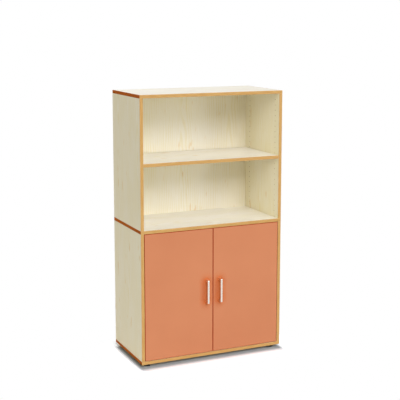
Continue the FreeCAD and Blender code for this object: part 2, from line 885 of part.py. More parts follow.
footX = "leftX + footFromSide"
leftFeet = []
leftSockets = []
for row, footY in enumerate(("frontY + footFromFront", "frontY + carcassDepth - footFromBack")):
    leftFeet.append(makeFoot("foot%d" % row, footX, footY))
    leftSockets.append(makeSocket("socket%d" % row, footX, footY))
pairAcross("levelling_feet", group("feetLeft", leftFeet))
pairAcross("foot_sockets", group("socketsLeft", leftSockets))


# The right half's own pieces are the left ones mirrored

mirroredPieces = [upperSide, lowerSide, upperEdging, lowerEdging, door, handle, handleScrews, doorPad]
for piece in mirroredPieces + hingeParts:
    mirror(piece, piece.Label.replace("left", "right"))

document.recompute()

# The bookcase's pieces have labels of small letters joined by underscores; the rest are steps.
pieces = [item for item in document.Objects if re.fullmatch("[a-z]+(_[a-z]+)+", item.Label)]
for item in document.Objects:
    if "Invalid" in item.State or "Error" in item.State:
        raise RuntimeError("%s could not be made: %s" % (item.Label, item.State))
for piece in pieces:
    if piece.Shape.isNull() or not piece.Shape.isValid():
        raise RuntimeError(piece.Label + " has no valid shape")

os.makedirs("parts", exist_ok=True)
for piece in pieces:
    piece.Shape.exportStep("parts/%s.step" % piece.Label)
print(len(pieces), "pieces written")
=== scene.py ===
import json
import math

import bmesh
import bpy
from mathutils import Euler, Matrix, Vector


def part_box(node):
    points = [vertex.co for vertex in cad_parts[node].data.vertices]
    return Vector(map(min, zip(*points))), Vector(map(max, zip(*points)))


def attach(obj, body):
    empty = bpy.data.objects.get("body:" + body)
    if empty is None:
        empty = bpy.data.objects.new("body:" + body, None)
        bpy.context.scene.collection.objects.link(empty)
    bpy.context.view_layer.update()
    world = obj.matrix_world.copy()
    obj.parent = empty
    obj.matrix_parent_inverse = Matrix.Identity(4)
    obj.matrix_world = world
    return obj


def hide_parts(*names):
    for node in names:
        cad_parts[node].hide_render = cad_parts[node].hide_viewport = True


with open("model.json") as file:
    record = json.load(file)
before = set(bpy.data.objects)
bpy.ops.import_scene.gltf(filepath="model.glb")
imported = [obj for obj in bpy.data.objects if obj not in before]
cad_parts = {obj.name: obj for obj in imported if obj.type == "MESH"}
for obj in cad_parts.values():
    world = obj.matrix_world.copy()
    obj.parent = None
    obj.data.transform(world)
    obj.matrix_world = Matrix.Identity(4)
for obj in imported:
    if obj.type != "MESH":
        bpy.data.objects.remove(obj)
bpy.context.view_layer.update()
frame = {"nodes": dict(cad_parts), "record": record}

nodes = frame["nodes"]
print("loaded", len(nodes), "nodes")


# Camera and view

cameraSettings = {
    "place": (-2.331, -5.144, 1.985),
    "yaw": 24.48,        # degrees to the right of +Y
    "pitch": 8.78,       # degrees below level
    "lens": 86.1,
    "sensorWidth": 36,
    "shiftY": -0.08,
    "clipEnd": 60,
}


def makeCamera(settings):
    data = bpy.data.cameras.new("bookcaseCamera")
    data.lens = settings["lens"]
    data.sensor_width = settings["sensorWidth"]
    data.shift_y = settings["shiftY"]
    data.clip_end = settings["clipEnd"]
    camera = bpy.data.objects.new("bookcaseCamera", data)
    bpy.context.scene.collection.objects.link(camera)
    camera.location = settings["place"]
    camera.rotation_euler = Euler((math.radians(90 - settings["pitch"]), 0, math.radians(-settings["yaw"])))
    bpy.context.scene.camera = camera


makeCamera(cameraSettings)
bpy.context.scene.view_settings.view_transform = "Standard"
print("camera ready")


# Node helpers

def srgb(red, green, blue):
    # an 8-bit screen colour as the linear one that Blender's sockets take
    def linear(part):
        part /= 255
        return part / 12.92 if part <= 0.04045 else ((part + 0.055) / 1.055) ** 2.4
    return (linear(red), linear(green), linear(blue), 1)


def setInput(tree, socket, value):
    # joins the socket to another node's output, or gives it a plain value
    if isinstance(value, bpy.types.NodeSocket):
        tree.links.new(value, socket)
    else:
        socket.default_value = value


def addNode(tree, kind, inputs=None, **settings):
    node = tree.nodes.new(kind)
    for name, value in settings.items():
        setattr(node, name, value)
    for name, value in (inputs or {}).items():
        setInput(tree, node.inputs[name], value)
    return node


def addMath(tree, operation, *values, clamp=False):
    node = addNode(tree, "ShaderNodeMath", dict(enumerate(values)), operation=operation, use_clamp=clamp)
    return node.outputs[0]


def addVector(tree, operation, first, second=None):
    node = addNode(tree, "ShaderNodeVectorMath", {0: first}, operation=operation)
    if second is not None:
        setInput(tree, node.inputs["Scale" if operation == "SCALE" else 1], second)
    return node.outputs[0]


def addMix(tree, factor, first, second, blend="MIX"):
    return addNode(tree, "ShaderNodeMix", {0: factor, 6: first, 7: second},
                   data_type="RGBA", blend_type=blend).outputs[2]


def addLayer(tree, mask, share, below, above):
    # lays a colour over another, at the full share where the mask is 1
    return addMix(tree, addMath(tree, "MULTIPLY", mask, share), below, above)


def addNoise(tree, vector, scale, detail, roughness=0.5):
    return addNode(tree, "ShaderNodeTexNoise", {
        "Vector": vector, "Scale": scale, "Detail": detail, "Roughness": roughness,
    }).outputs


def remap(tree, value, low, high, outLow=0.0, outHigh=1.0, smooth=False):
    return addNode(tree, "ShaderNodeMapRange", {
        "Value": value, "From Min": low, "From Max": high, "To Min": outLow, "To Max": outHigh,
    }, interpolation_type="SMOOTHSTEP" if smooth else "LINEAR").outputs["Result"]


def objectPlace(tree):
    # metres in the bookcase's own frame
    return addNode(tree, "ShaderNodeTexCoord").outputs["Object"]


def separate(tree, vector):
    return addNode(tree, "ShaderNodeSeparateXYZ", {"Vector": vector}).outputs


def newGroup(name, inputs, outputs):
    group = bpy.data.node_groups.new(name, "ShaderNodeTree")
    for label, kind, default in inputs:
        socket = group.interface.new_socket(label, in_out="INPUT", socket_type=kind)
        if default is not None:
            socket.default_value = default
    for label in outputs:
        group.interface.new_socket(label, in_out="OUTPUT", socket_type="NodeSocketFloat")
    return group, group.nodes.new("NodeGroupInput").outputs, group.nodes.new("NodeGroupOutput").inputs


def useGroup(tree, group, inputs):
    return addNode(tree, "ShaderNodeGroup", inputs, node_tree=group).outputs


def newMaterial(name):
    material = bpy.data.materials.new(name)
    material.use_nodes = True
    tree = material.node_tree
    return material, tree, tree.nodes["Principled BSDF"]


# Shared effects

grainShape = {
    "bendsPerMetre": 7.0,      # the slow sway of the whole pattern
    "bendStretch": 0.4,        # how often it comes along the grain for once across, as for each stretch below
    "fibreStretch": 0.03,
    "archLength": 0.55,        # metres along the grain from where the arches close to where they are widest
    "archSlope": 0.075,        # how fast they close
    "ringStart": -0.3,         # a growth line's wave runs from -1 to 1, and its colour starts here
    "straysPerMetre": 20.0,
    "strayStretch": 0.1,
    "stray": 6,                # radians by which single growth lines stray
    "fadesPerMetre": 11.0,
    "fadeStretch": 0.3,
    "faintest": 0.15,          # what is left of a growth line where it fades
    "markStretch": 0.22,
    "markLimits": (0.69, 0.80),      # the noise at which a golden mark starts and is full
}
noiseMiddle = (0.35, 0.65)      # most of a noise's values lie between these two, and nearly all in the span
noiseSpan = (0.3, 0.7)


def makeGrainGroup(shape):
    # veneer grain that runs along local Z: hair-fine fibres, dense growth lines that meet in long arches,
    # mirrored from one leaf of veneer to the next, and a few short golden marks
    group, inputs, outputs = newGroup("woodGrain", [
        ("Vector", "NodeSocketVector", None),
        ("Fibres Per Metre", "NodeSocketFloat", 300.0),
        ("Lines Per Metre", "NodeSocketFloat", 75.0),
        ("Marks Per Metre", "NodeSocketFloat", 46.0),
        ("Leaf Width", "NodeSocketFloat", 0.16),
        ("Waviness", "NodeSocketFloat", 0.03),
    ], ["Fibres", "Rings", "Streaks", "Height"])
    slow = addVector(group, "MULTIPLY", inputs["Vector"], (1, 1, shape["bendStretch"]))
    sway = addNoise(group, slow, shape["bendsPerMetre"], 2.0)["Color"]
    centred = addVector(group, "SUBTRACT", sway, (0.5, 0.5, 0.5))
    bent = addVector(group, "ADD", inputs["Vector"], addVector(group, "SCALE", centred, inputs["Waviness"]))

    def stretched(stretch):
        return addVector(group, "MULTIPLY", bent, (1, 1, shape[stretch]))

    fibres = addNoise(group, stretched("fibreStretch"), inputs["Fibres Per Metre"], 3.0, 0.6)["Fac"]
    parts = separate(group, bent)
    leaf = addMath(group, "PINGPONG", addMath(group, "ADD", parts["X"], parts["Y"]), inputs["Leaf Width"])
    rise = addMath(group, "MULTIPLY", addMath(group, "PINGPONG", parts["Z"], shape["archLength"]),
                   shape["archSlope"])
    reach = addMath(group, "SQRT", addMath(group, "ADD", addMath(group, "MULTIPLY", leaf, leaf),
                                           addMath(group, "MULTIPLY", rise, rise)))
    turns = addMath(group, "MULTIPLY", addMath(group, "MULTIPLY", reach, inputs["Lines Per Metre"]), math.tau)
    wander = addNoise(group, stretched("strayStretch"), shape["straysPerMetre"], 2.0)["Fac"]
    strayed = addMath(group, "ADD", turns, remap(group, wander, 0, 1, -shape["stray"], shape["stray"]))
    lines = addMath(group, "SINE", strayed)
    fading = addNoise(group, stretched("fadeStretch"), shape["fadesPerMetre"], 1.0)["Fac"]
    strength = remap(group, fading, *noiseMiddle, shape["faintest"], 1.0, smooth=True)
    marks = addNoise(group, stretched("markStretch"), inputs["Marks Per Metre"], 1.0, 0.4)["Fac"]
    fibreMask = remap(group, fibres, *noiseMiddle)
    rings = addMath(group, "MULTIPLY", remap(group, lines, shape["ringStart"], 1.0, smooth=True), strength)
    group.links.new(fibreMask, outputs["Fibres"])
    group.links.new(rings, outputs["Rings"])
    group.links.new(remap(group, marks, *shape["markLimits"], smooth=True), outputs["Streaks"])
    group.links.new(fibreMask, outputs["Height"])
    return group


def makeHandlingGroup():
    # slight unevenness that use leaves on a smooth surface: soft patches and fine specks
    group, inputs, outputs = newGroup("handlingMarks", [
        ("Vector", "NodeSocketVector", None),
        ("Patches Per Metre", "NodeSocketFloat", 6.0),
        ("Specks Per Metre", "NodeSocketFloat", 900.0),
    ], ["Patches", "Specks"])
    patches = addNoise(group, inputs["Vector"], inputs["Patches Per Metre"], 3.0, 0.55)["Fac"]
    specks = addNoise(group, inputs["Vector"], inputs["Specks Per Metre"], 2.0)["Fac"]
    group.links.new(remap(group, patches, *noiseSpan), outputs["Patches"])
    group.links.new(remap(group, specks, *noiseSpan), outputs["Specks"])
    return group


wearShape = {
    "rubsPerMetre": 38.0,
    "rubLimits": (0.4, 0.66),      # the noise at which the rubbed colour starts and is full
}


def makeWearGroup(shape):
    # 1 along the arrises of a box-shaped part, broken up as rubbing leaves it, and 0 on its faces
    group, inputs, outputs = newGroup("edgeWear", [
        ("Vector", "NodeSocketVector", None),
        ("Middle", "NodeSocketVector", None),
        ("Half Size", "NodeSocketVector", None),
        ("Width", "NodeSocketFloat", 0.0012),
    ], ["Wear"])
    offset = addVector(group, "SUBTRACT", inputs["Vector"], inputs["Middle"])
    inward = addVector(group, "SUBTRACT", inputs["Half Size"], addVector(group, "ABSOLUTE", offset))
    depth = separate(group, inward)
    nearer = addMath(group, "MINIMUM", depth["X"], depth["Y"])
    farther = addMath(group, "MAXIMUM", depth["X"], depth["Y"])
    second = addMath(group, "MAXIMUM", nearer, addMath(group, "MINIMUM", farther, depth["Z"]))
    band = addMath(group, "SUBTRACT", 1.0, addMath(group, "DIVIDE", second, inputs["Width"]), clamp=True)
    rubbed = addNoise(group, inputs["Vector"], shape["rubsPerMetre"], 3.0)["Fac"]
    group.links.new(addMath(group, "MULTIPLY", band, remap(group, rubbed, *shape["rubLimits"])),
                    outputs["Wear"])
    return group


brushStretch = 0.012      # how often a line changes along its length for once across


def makeBrushedGroup(stretch):
    # fine straight lines that run along local Z, as a belt leaves them on metal
    group, inputs, outputs = newGroup("brushedLines", [
        ("Vector", "NodeSocketVector", None),
        ("Lines Per Metre", "NodeSocketFloat", 2600.0),
    ], ["Lines"])
    drawn = addVector(group, "MULTIPLY", inputs["Vector"], (1, 1, stretch))
    lines = addNoise(group, drawn, inputs["Lines Per Metre"], 2.0, 0.7)["Fac"]
    group.links.new(remap(group, lines, *noiseSpan), outputs["Lines"])
    return group


woodGrain = makeGrainGroup(grainShape)
handlingMarks = makeHandlingGroup()
edgeWear = makeWearGroup(wearShape)
brushedLines = makeBrushedGroup(brushStretch)

grainAxes = {
    "up": (0, 0, 0),
    "across": (0, math.radians(90), 0),
    "back": (math.radians(90), 0, 0),
}
shadeSamples = 12


def grainVector(tree, axis, shift):
    return addNode(tree, "ShaderNodeMapping", {
        "Vector": objectPlace(tree), "Location": shift, "Rotation": grainAxes[axis],
    }).outputs["Vector"]


def addWear(tree, name, colour, finish):
    # the worn colour along the arrises of the node's box
    low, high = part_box(name)
    wear = useGroup(tree, edgeWear, {
        "Vector": objectPlace(tree), "Width": finish["wearWidth"],
        "Middle": [(a + b) / 2 for a, b in zip(low, high)],
        "Half Size": [(b - a) / 2 for a, b in zip(low, high)],
    })["Wear"]
    return addLayer(tree, wear, finish["wearShare"], colour, finish["worn"])


def addPaintedShade(tree, colour, finish):
    # painted shade: a deeper, darker colour where other pieces stand close, found by ambient occlusion, as
    # light has that comes off them more than once
    openness = addNode(tree, "ShaderNodeAmbientOcclusion", {"Distance": finish["shadeReach"]},
                       samples=shadeSamples)
    share = remap(tree, openness.outputs["AO"], *finish["shadeFrom"])
    return addMix(tree, share, colour, finish["shaded"], "MULTIPLY")


def dress(tree, shader, colour, roughness, height, finish):
    # joins what a material has worked out to its shader
    tree.links.new(colour, shader.inputs["Base Color"])
    tree.links.new(roughness, shader.inputs["Roughness"])
    for label, key in (("Specular IOR Level", "specular"), ("Metallic", "metallic")):
        if key in finish:
            shader.inputs[label].default_value = finish[key]
    bump = addNode(tree, "ShaderNodeBump", {
        "Height": height, "Distance": finish["bump"], "Strength": finish["bumpStrength"],
    })
    tree.links.new(bump.outputs["Normal"], shader.inputs["Normal"])


def finishNode(name, material):
    for slot in nodes[name].material_slots:
        slot.material = material


# Boards

coreFinish = {
    "chip": srgb(176, 138, 92),
    "gap": srgb(104, 74, 44),
    "chipsPerMetre": 420.0,
    "chipLimits": (0.1, 0.8),      # how far from a chip's middle its colour starts to turn, and has turned
    "laminate": 0.0004,      # metres from each broad face to the chipboard
}
boardFinish = {
    "pale": srgb(248, 245, 234),
    "fibre": srgb(243, 237, 217),
    "fibreShare": 0.6,
    "ring": srgb(236, 227, 187),
    "ringShare": 0.5,
    "gold": srgb(224, 190, 118),
    "streakShare": 0.5,
    "worn": srgb(222, 200, 160),
    "wearWidth": 0.0012,
    "wearShare": 0.5,
    "roughness": (0.46, 0.56),
    "coreRougher": 0.35,
    "specular": 0.25,
    "bump": 0.00006,
    "bumpStrength": 0.6,
    "shaded": (0.98, 0.95, 0.84, 1),      # painted shade: what is left of a wall's colour, deep in a compartment
    "shadeReach": 0.3,
    "shadeFrom": (0.8, 0.35),      # how open a spot is where the painted shade starts, and where it is full
}
boardGrain = {
    # the grain's direction, the axis across a board of chipboard (None: solid wood), where the pattern starts
    "upper_left_side": ("up", "X", (0.0, 0.3, 0.1)),
    "upper_right_side": ("up", "X", (0.4, 0.1, 0.7)),
    "lower_left_side": ("up", "X", (0.2, 0.9, 1.3)),
    "lower_right_side": ("up", "X", (0.7, 0.5, 2.1)),
    "upper_back": ("up", "Y", (0.31, 1.4, 0.2)),
    "lower_back": ("up", "Y", (1.3, 0.2, 0.9)),
    "top_panel": ("across", "Z", (0.3, 0.8, 0.5)),
    "middle_panel": ("across", "Z", (1.1, 0.4, 0.2)),
    "bottom_panel": ("across", "Z", (0.6, 1.5, 0.8)),
    "adjustable_shelf": ("across", "Z", (0.9, 0.1, 1.4)),
    "cabinet_shelf": ("across", "Z", (1.7, 0.6, 0.3)),
    "door_stop": ("across", None, (0.5, 0.5, 0.1)),
}


def addCoreMask(tree, name, axis):
    # 1 between the two broad faces of a board: on the walls of its holes and on its bare edges
    low, high = (corner["XYZ".index(axis)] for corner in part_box(name))
    along = separate(tree, objectPlace(tree))[axis]
    inside = addMath(tree, "GREATER_THAN", along, low + coreFinish["laminate"])
    return addMath(tree, "MULTIPLY", inside, addMath(tree, "LESS_THAN", along, high - coreFinish["laminate"]))


def addChipboard(tree):
    chips = addNode(tree, "ShaderNodeTexVoronoi", {
        "Vector": objectPlace(tree), "Scale": coreFinish["chipsPerMetre"],
    })
    turned = remap(tree, chips.outputs["Distance"], *coreFinish["chipLimits"])
    return addMix(tree, turned, coreFinish["chip"], coreFinish["gap"])


def makeBoardMaterial(name, axis, thin, shift, finish):
    material, tree, shader = newMaterial("board_" + name)
    grain = useGroup(tree, woodGrain, {"Vector": grainVector(tree, axis, shift)})
    colour = addLayer(tree, grain["Fibres"], finish["fibreShare"], finish["pale"], finish["fibre"])
    colour = addLayer(tree, grain["Rings"], finish["ringShare"], colour, finish["ring"])
    colour = addLayer(tree, grain["Streaks"], finish["streakShare"], colour, finish["gold"])
    colour = addWear(tree, name, colour, finish)
    if axis == "up":      # the walls, which get painted shade deep in the compartments
        colour = addPaintedShade(tree, colour, finish)
    roughness = remap(tree, grain["Fibres"], 0, 1, *finish["roughness"])
    if thin:
        core = addCoreMask(tree, name, thin)
        colour = addMix(tree, core, colour, addChipboard(tree))
        roughness = addMath(tree, "ADD", roughness, addMath(tree, "MULTIPLY", core, finish["coreRougher"]))
    dress(tree, shader, colour, roughness, grain["Height"], finish)
    return material


for name, (axis, thin, shift) in boardGrain.items():
    finishNode(name, makeBoardMaterial(name, axis, thin, shift, boardFinish))
print("boards finished")


# Edging strips

frontEdgingFinish = {
    "pale": srgb(208, 168, 104),
    "dark": srgb(186, 137, 70),
    "fibreShare": 0.75,
    "ringShare": 0.45,
    "worn": srgb(232, 203, 152),
    "wearWidth": 0.0014,
    "wearShare": 0.55,
    "roughness": (0.37, 0.5),
    "specular": 0.3,
}
endEdgingFinish = {
    "pale": srgb(204, 108, 28),
    "dark": srgb(156, 76, 12),
    "fibreShare": 0.8,
    "ringShare": 0.6,
    "worn": srgb(214, 150, 84),
    "wearWidth": 0.0012,
    "wearShare": 0.45,
    "roughness": (0.55, 0.68),
    "specular": 0.05,
}
edgingGrain = {
    "fibresPerMetre": 420.0,
    "linesPerMetre": 140.0,
    "bump": 0.0001,
    "bumpStrength": 0.5,
    "step": (0.37, 0.61, 0.23),      # how far the pattern moves on from one strip to the next
}


def makeEdgingMaterial(name, axis, shift, finish):
    material, tree, shader = newMaterial("edging_" + name)
    grain = useGroup(tree, woodGrain, {
        "Vector": grainVector(tree, axis, shift), "Fibres Per Metre": edgingGrain["fibresPerMetre"],
        "Lines Per Metre": edgingGrain["linesPerMetre"],
    })
    colour = addLayer(tree, grain["Fibres"], finish["fibreShare"], finish["pale"], finish["dark"])
    colour = addLayer(tree, grain["Rings"], finish["ringShare"], colour, finish["dark"])
    colour = addWear(tree, name, colour, finish)
    roughness = remap(tree, grain["Fibres"], 0, 1, *finish["roughness"])
    dress(tree, shader, colour, roughness, grain["Height"], {**edgingGrain, **finish})
    return material


for index, name in enumerate(sorted(nodes)):
    shift = [index * part for part in edgingGrain["step"]]
    if name.endswith("side_edging"):
        finishNode(name, makeEdgingMaterial(name, "up", shift, frontEdgingFinish))
    elif name.endswith("_edging"):
        finishNode(name, makeEdgingMaterial(name, "across", shift, frontEdgingFinish))
    elif name.endswith("_end_edgings"):
        finishNode(name, makeEdgingMaterial(name, "back", shift, endEdgingFinish))
print("edging finished")


# Doors

doorFinish = {
    "base": srgb(206, 136, 98),
    "deep": srgb(200, 130, 93),
    "patchesPerMetre": 2.5,
    "strip": srgb(178, 62, 20),      # the band glued round the door's four edges, painted darker and redder to stand in for the shade in the gaps beside the doors
    "stripWraps": 0.0015,      # metres that its rounded corners take from each face
    "worn": srgb(226, 160, 122),
    "wearWidth": 0.0007,
    "wearShare": 0.6,
    "roughness": (0.52, 0.6),
    "specular": 0.06,
    "bump": 0.00005,
    "bumpStrength": 0.4,
    "shaded": (0.96, 0.62, 0.38, 1),      # painted shadow: what is left of the face's colour, close behind a handle
    "shadeReach": 0.05,
    "shadeFrom": (0.985, 0.86),      # how open a spot is where the painted shadow starts, and where it is full
    "shadeDepth": 0.0005,      # metres behind the door's face at which the painted shadow ends
}


def addRimMask(tree, name, width):
    # 1 on the narrow edges of an upright door and on the rounded corners beside them
    low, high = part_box(name)
    parts = separate(tree, objectPlace(tree))
    rim = 0.0
    for axis, spot in (("X", 0), ("Z", 2)):
        middle = (low[spot] + high[spot]) / 2
        half = (high[spot] - low[spot]) / 2
        away = addMath(tree, "ABSOLUTE", addMath(tree, "SUBTRACT", parts[axis], middle))
        rim = addMath(tree, "MAXIMUM", rim, addMath(tree, "GREATER_THAN", away, half - width))
    return rim


def addFaceMask(tree, name, depth):
    # 1 on the face that a closed door shows
    return addMath(tree, "LESS_THAN", separate(tree, objectPlace(tree))["Y"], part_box(name)[0][1] + depth)


def makeDoorMaterial(name, finish):
    material, tree, shader = newMaterial("apricot_" + name)
    marks = useGroup(tree, handlingMarks, {
        "Vector": objectPlace(tree), "Patches Per Metre": finish["patchesPerMetre"],
    })
    colour = addMix(tree, marks["Patches"], finish["base"], finish["deep"])
    colour = addMix(tree, addRimMask(tree, name, finish["stripWraps"]), colour, finish["strip"])
    colour = addWear(tree, name, colour, finish)
    # painted shadow behind the handles, only on the face that a closed door shows
    face = addFaceMask(tree, name, finish["shadeDepth"])
    colour = addMix(tree, face, colour, addPaintedShade(tree, colour, finish))
    roughness = remap(tree, marks["Patches"], 0, 1, *finish["roughness"])
    dress(tree, shader, colour, roughness, marks["Specks"], finish)
    return material


for name in ("left_door", "right_door"):
    finishNode(name, makeDoorMaterial(name, doorFinish))
print("doors finished")


# Handles, feet, metal and small parts

handleFinish = {
    "base": srgb(232, 227, 219),
    "deep": srgb(226, 220, 211),
    "patchesPerMetre": 40.0,
    "patchShare": 0.4,      # of the unevenness in the shine, where the brushed lines give the rest
    "roughness": (0.21, 0.33),
    "metallic": 1.0,
    "bump": 0.00001,
    "bumpStrength": 0.35,
}
plainFinishes = {
    # two colours, roughness, metallic, patches and specks per metre, the specks' height in metres
    "footBlack": (srgb(30, 28, 27), srgb(22, 21, 20), (0.51, 0.61), 0.0, 20.0, 600.0, 0.00004),
    "nickelSteel": (srgb(214, 212, 207), srgb(202, 200, 195), (0.22, 0.32), 1.0, 60.0, 3000.0, 0.000004),
    "zincSteel": (srgb(204, 205, 202), srgb(184, 185, 181), (0.3, 0.4), 1.0, 120.0, 3000.0, 0.000006),
    "socketGrey": (srgb(96, 96, 96), srgb(84, 84, 84), (0.46, 0.56), 0.0, 20.0, 900.0, 0.00004),
    "padClear": (srgb(214, 214, 208), srgb(200, 200, 194), (0.31, 0.41), 0.0, 20.0, 900.0, 0.00004),
}
speckStrength = 0.4
dowelFinish = {
    "pale": srgb(214, 184, 134),
    "dark": srgb(190, 154, 100),
    "fibreShare": 0.6,
    "ringShare": 0.4,
    "worn": srgb(214, 184, 134),
    "wearWidth": 0.0005,
    "wearShare": 0.0,
    "roughness": (0.55, 0.68),
    "specular": 0.3,
}


def makePlainMaterial(name, base, deep, roughness, metallic, patches, specks, bump):
    material, tree, shader = newMaterial(name)
    marks = useGroup(tree, handlingMarks, {
        "Vector": objectPlace(tree), "Patches Per Metre": patches, "Specks Per Metre": specks,
    })
    dress(tree, shader, addMix(tree, marks["Patches"], base, deep),
          remap(tree, marks["Specks"], 0, 1, *roughness), marks["Specks"],
          {"metallic": metallic, "bump": bump, "bumpStrength": speckStrength})
    return material


def makeBrushedMetal(name, finish):
    material, tree, shader = newMaterial(name)
    lines = useGroup(tree, brushedLines, {"Vector": objectPlace(tree)})["Lines"]
    patches = useGroup(tree, handlingMarks, {
        "Vector": objectPlace(tree), "Patches Per Metre": finish["patchesPerMetre"],
    })["Patches"]
    fine = addMath(tree, "MULTIPLY", lines, 1 - finish["patchShare"])
    uneven = addMath(tree, "MULTIPLY_ADD", patches, finish["patchShare"], fine)
    dress(tree, shader, addMix(tree, patches, finish["base"], finish["deep"]),
          remap(tree, uneven, 0, 1, *finish["roughness"]), lines, finish)
    return material


plain = {name: makePlainMaterial(name, *finish) for name, finish in plainFinishes.items()}
handleSatin = makeBrushedMetal("handleSatin", handleFinish)
smallFinishes = {
    "left_handle": handleSatin, "right_handle": handleSatin,
    "levelling_feet": plain["footBlack"], "foot_sockets": plain["socketGrey"],
    "adjustable_shelf_pins": plain["nickelSteel"], "cabinet_shelf_pins": plain["nickelSteel"],
    "left_door_pad": plain["padClear"], "right_door_pad": plain["padClear"],
    "carcass_dowels": makeEdgingMaterial("carcass_dowels", "up", (0.1, 0.1, 0.1), dowelFinish),
}
for name in nodes:
    if name in smallFinishes:
        finishNode(name, smallFinishes[name])
    elif "_hinge_" in name and not name.endswith("_screws"):
        finishNode(name, plain["nickelSteel"])
print("small parts finished")


# Screws: a domed head with a cross recess, and a rolled thread

screwShape = {
    "headRadius": 0.0045,
    "domeRise": 0.0006,
    "dome": ((0.72, 0.2), (0.92, 0.65), (1.0, 1.3)),      # each ring's share of the radius, and drop in rises
    "armReach": 0.0023,      # the cross recess: how far its arms go, half their width, and its depth
    "armHalf": 0.00055,
    "armDrop": 0.1,      # in rises, as the dome's
    "recessDepth": 0.0012,
    "recessTaper": 0.6,
    "turnSteps": 16,
    "threadDepth": 0.12,      # share of the shank's radius
    "threadStart": 0.25,      # in pitches below the head
    "pitch": 0.0009,
    "shankFlats": 8,      # on the solid's shank, whose corners stand out further than its flats
}
mergeWithin = 0.00001      # metres between corners of the solid's mesh that are one
levelDigits = 5      # decimals of a metre that tell two levels of a screw apart


def shankAxis(low, high):
    # the axis whose size differs from the other two
    sizes = [b - a for a, b in zip(low, high)]
    others = [abs(sizes[(axis + 1) % 3] - sizes[(axis + 2) % 3]) for axis in range(3)]
    return others.index(min(others))


def screwPlaces(name):
    # every separate screw of a node: its axis and way, head end, length, head thickness and shank radius
    build = bmesh.new()
    build.from_mesh(nodes[name].data)
    bmesh.ops.remove_doubles(build, verts=build.verts, dist=mergeWithin)
    taken = set()
    places = []
    for start in build.verts:
        if start in taken:
            continue
        taken.add(start)
        loose = [start]
        points = []
        while loose:
            vert = loose.pop()
            points.append(vert.co.copy())
            joined = {edge.other_vert(vert) for edge in vert.link_edges} - taken
            taken |= joined
            loose.extend(joined)
        low = [min(point[axis] for point in points) for axis in range(3)]
        high = [max(point[axis] for point in points) for axis in range(3)]
        head = Vector([(a + b) / 2 for a, b in zip(low, high)])
        axis = shankAxis(low, high)
        radii = {}
        for point in points:
            away = point - head
            away[axis] = 0
            level = round(point[axis], levelDigits)
            radii[level] = max(radii.get(level, 0), away.length)
        levels = sorted(radii)
        if radii[levels[0]] > radii[levels[-1]]:
            levels.reverse()
        head[axis] = levels[-1]
        places.append({
            "axis": axis, "way": 1 if levels[-1] > levels[0] else -1, "head": head,
            "length": abs(levels[-1] - levels[0]), "headDepth": abs(levels[-1] - levels[-2]),
            "shank": radii[levels[0]] * math.cos(math.pi / screwShape["shankFlats"]),
        })
    build.free()
    return places


def addRing(build, radius, level, steps):
    return [build.verts.new((radius * math.cos(math.tau * step / steps),
                             radius * math.sin(math.tau * step / steps), level)) for step in range(steps)]


def bridge(build, upper, lower):
    for step in range(len(upper)):
        build.faces.new((upper[step - 1], lower[step - 1], lower[step], upper[step]))


def crossOutline(build, reach, half, level):
    corners = []
    for turn in range(4):
        quarter = math.tau * turn / 4
        for along, aside in ((reach, -half), (reach, half), (half, half)):
            corners.append(build.verts.new((
                along * math.cos(quarter) - aside * math.sin(quarter),
                along * math.sin(quarter) + aside * math.cos(quarter), level,
            )))
    return corners


def fillBetween(build, *loops):
    edges = []
    for loop in loops:
        for spot in range(len(loop)):
            pair = (loop[spot - 1], loop[spot])
            edges.append(build.edges.get(pair) or build.edges.new(pair))
    bmesh.ops.triangle_fill(build, edges=edges, use_beauty=True)


def addThread(build, top, bottom, radius, shape):
    # one crest line and one root line wound together from the head down to the tip
    steps = shape["turnSteps"]
    pitch = shape["pitch"]
    root = radius * (1 - shape["threadDepth"])
    turns = int((top - bottom) / pitch) - 1
    crests, roots = [], []
    for count in range(turns * steps + 1):
        angle = math.tau * count / steps
        level = top - pitch * (count / steps + shape["threadStart"])
        for line, reach, drop in ((crests, radius, 0), (roots, root, pitch / 2)):
            line.append(build.verts.new((reach * math.cos(angle), reach * math.sin(angle), level - drop)))
    for count in range(len(crests) - 1):
        build.faces.new((crests[count], roots[count], roots[count + 1], crests[count + 1]))
    for count in range(len(crests) - 1 - steps):
        build.faces.new((roots[count], crests[count + steps], crests[count + steps + 1], roots[count + 1]))
    for level in (top, bottom):
        build.faces.new(addRing(build, root, level, steps))


def addScrew(build, place, shape):
    # drawn upright with its head's top at the origin, then turned and moved to its place
    first = len(build.verts)
    radius, rise, taper = shape["headRadius"], shape["domeRise"], shape["recessTaper"]
    steps = shape["turnSteps"] * 2
    outline = crossOutline(build, shape["armReach"], shape["armHalf"], -shape["armDrop"] * rise)
    rings = [addRing(build, radius * share, -drop * rise, steps) for share, drop in shape["dome"]]
    rings.append(addRing(build, radius, -place["headDepth"], steps))
    fillBetween(build, outline, rings[0])
    for upper, lower in zip(rings, rings[1:]):
        bridge(build, upper, lower)
    build.faces.new(rings[-1])
    pocket = crossOutline(build, shape["armReach"] * taper, shape["armHalf"] * taper, -shape["recessDepth"])
    bridge(build, outline, pocket)
    fillBetween(build, pocket)
    addThread(build, -place["headDepth"], -place["length"], place["shank"], shape)
    build.verts.ensure_lookup_table()
    outward = Vector((0, 0, 0))
    outward[place["axis"]] = place["way"]
    turned = Vector((0, 0, 1)).rotation_difference(outward).to_matrix()
    for vert in build.verts[first:]:
        vert.co = turned @ vert.co + place["head"]


bodyOf = {name: body for body, names in frame["record"]["behaviour"]["bodies"].items() for name in names}


def makeScrews(name):
    build = bmesh.new()
    for place in screwPlaces(name):
        addScrew(build, place, screwShape)
    bmesh.ops.recalc_face_normals(build, faces=build.faces)
    mesh = bpy.data.meshes.new(name + "_crossHeads")
    build.to_mesh(mesh)
    build.free()
    mesh.materials.append(plain["zincSteel"])
    piece = bpy.data.objects.new(name + "_crossHeads", mesh)
    bpy.context.scene.collection.objects.link(piece)
    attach(piece, bodyOf[name])
    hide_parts(name)


for name in sorted(nodes):
    if name.endswith("_screws"):
        makeScrews(name)
print("screws made")


# Studio: floor, world and lamps

